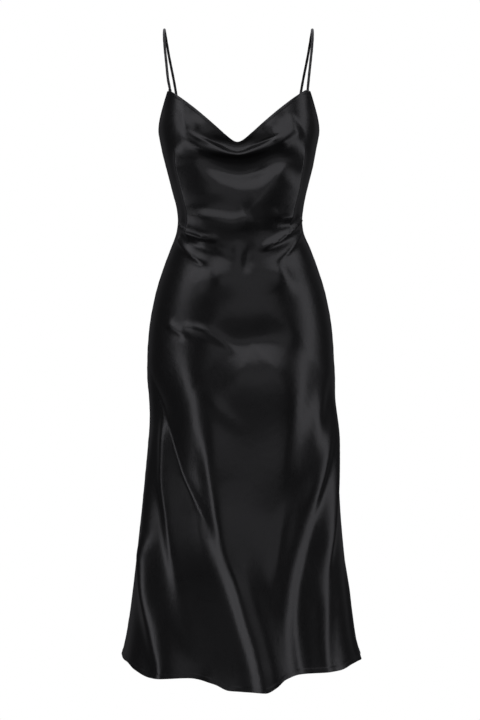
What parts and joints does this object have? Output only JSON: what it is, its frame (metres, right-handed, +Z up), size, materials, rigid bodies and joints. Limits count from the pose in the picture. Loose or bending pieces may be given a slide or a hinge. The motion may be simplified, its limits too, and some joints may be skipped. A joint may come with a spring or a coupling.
{
  "type": "slip dress",
  "caption": "Midi slip dress of black satin on thin straps, with a cowl neckline, a fitted waist and a flared, fluted skirt, filled out as if worn, open at neck, armholes and hem.",
  "frame": {"origin": "midway between the two places where the wearer's shoulders carry the straps, on the straps' underside", "axes": "+Z up; the front of the dress faces -Y; the wearer's left is +X"},
  "size_m": [0.439, 0.4029, 1.1844],
  "materials": {
    "front_panel": "glossy satin face",
    "back_panel": "glossy satin face",
    "strap_left": "satin rouleau",
    "strap_right": "satin rouleau"
  },
  "bodies": {
    "root": {"front_panel": "front_panel", "back_panel": "back_panel", "strap_left": "strap_left", "strap_right": "strap_right"}
  },
  "joints": []
}
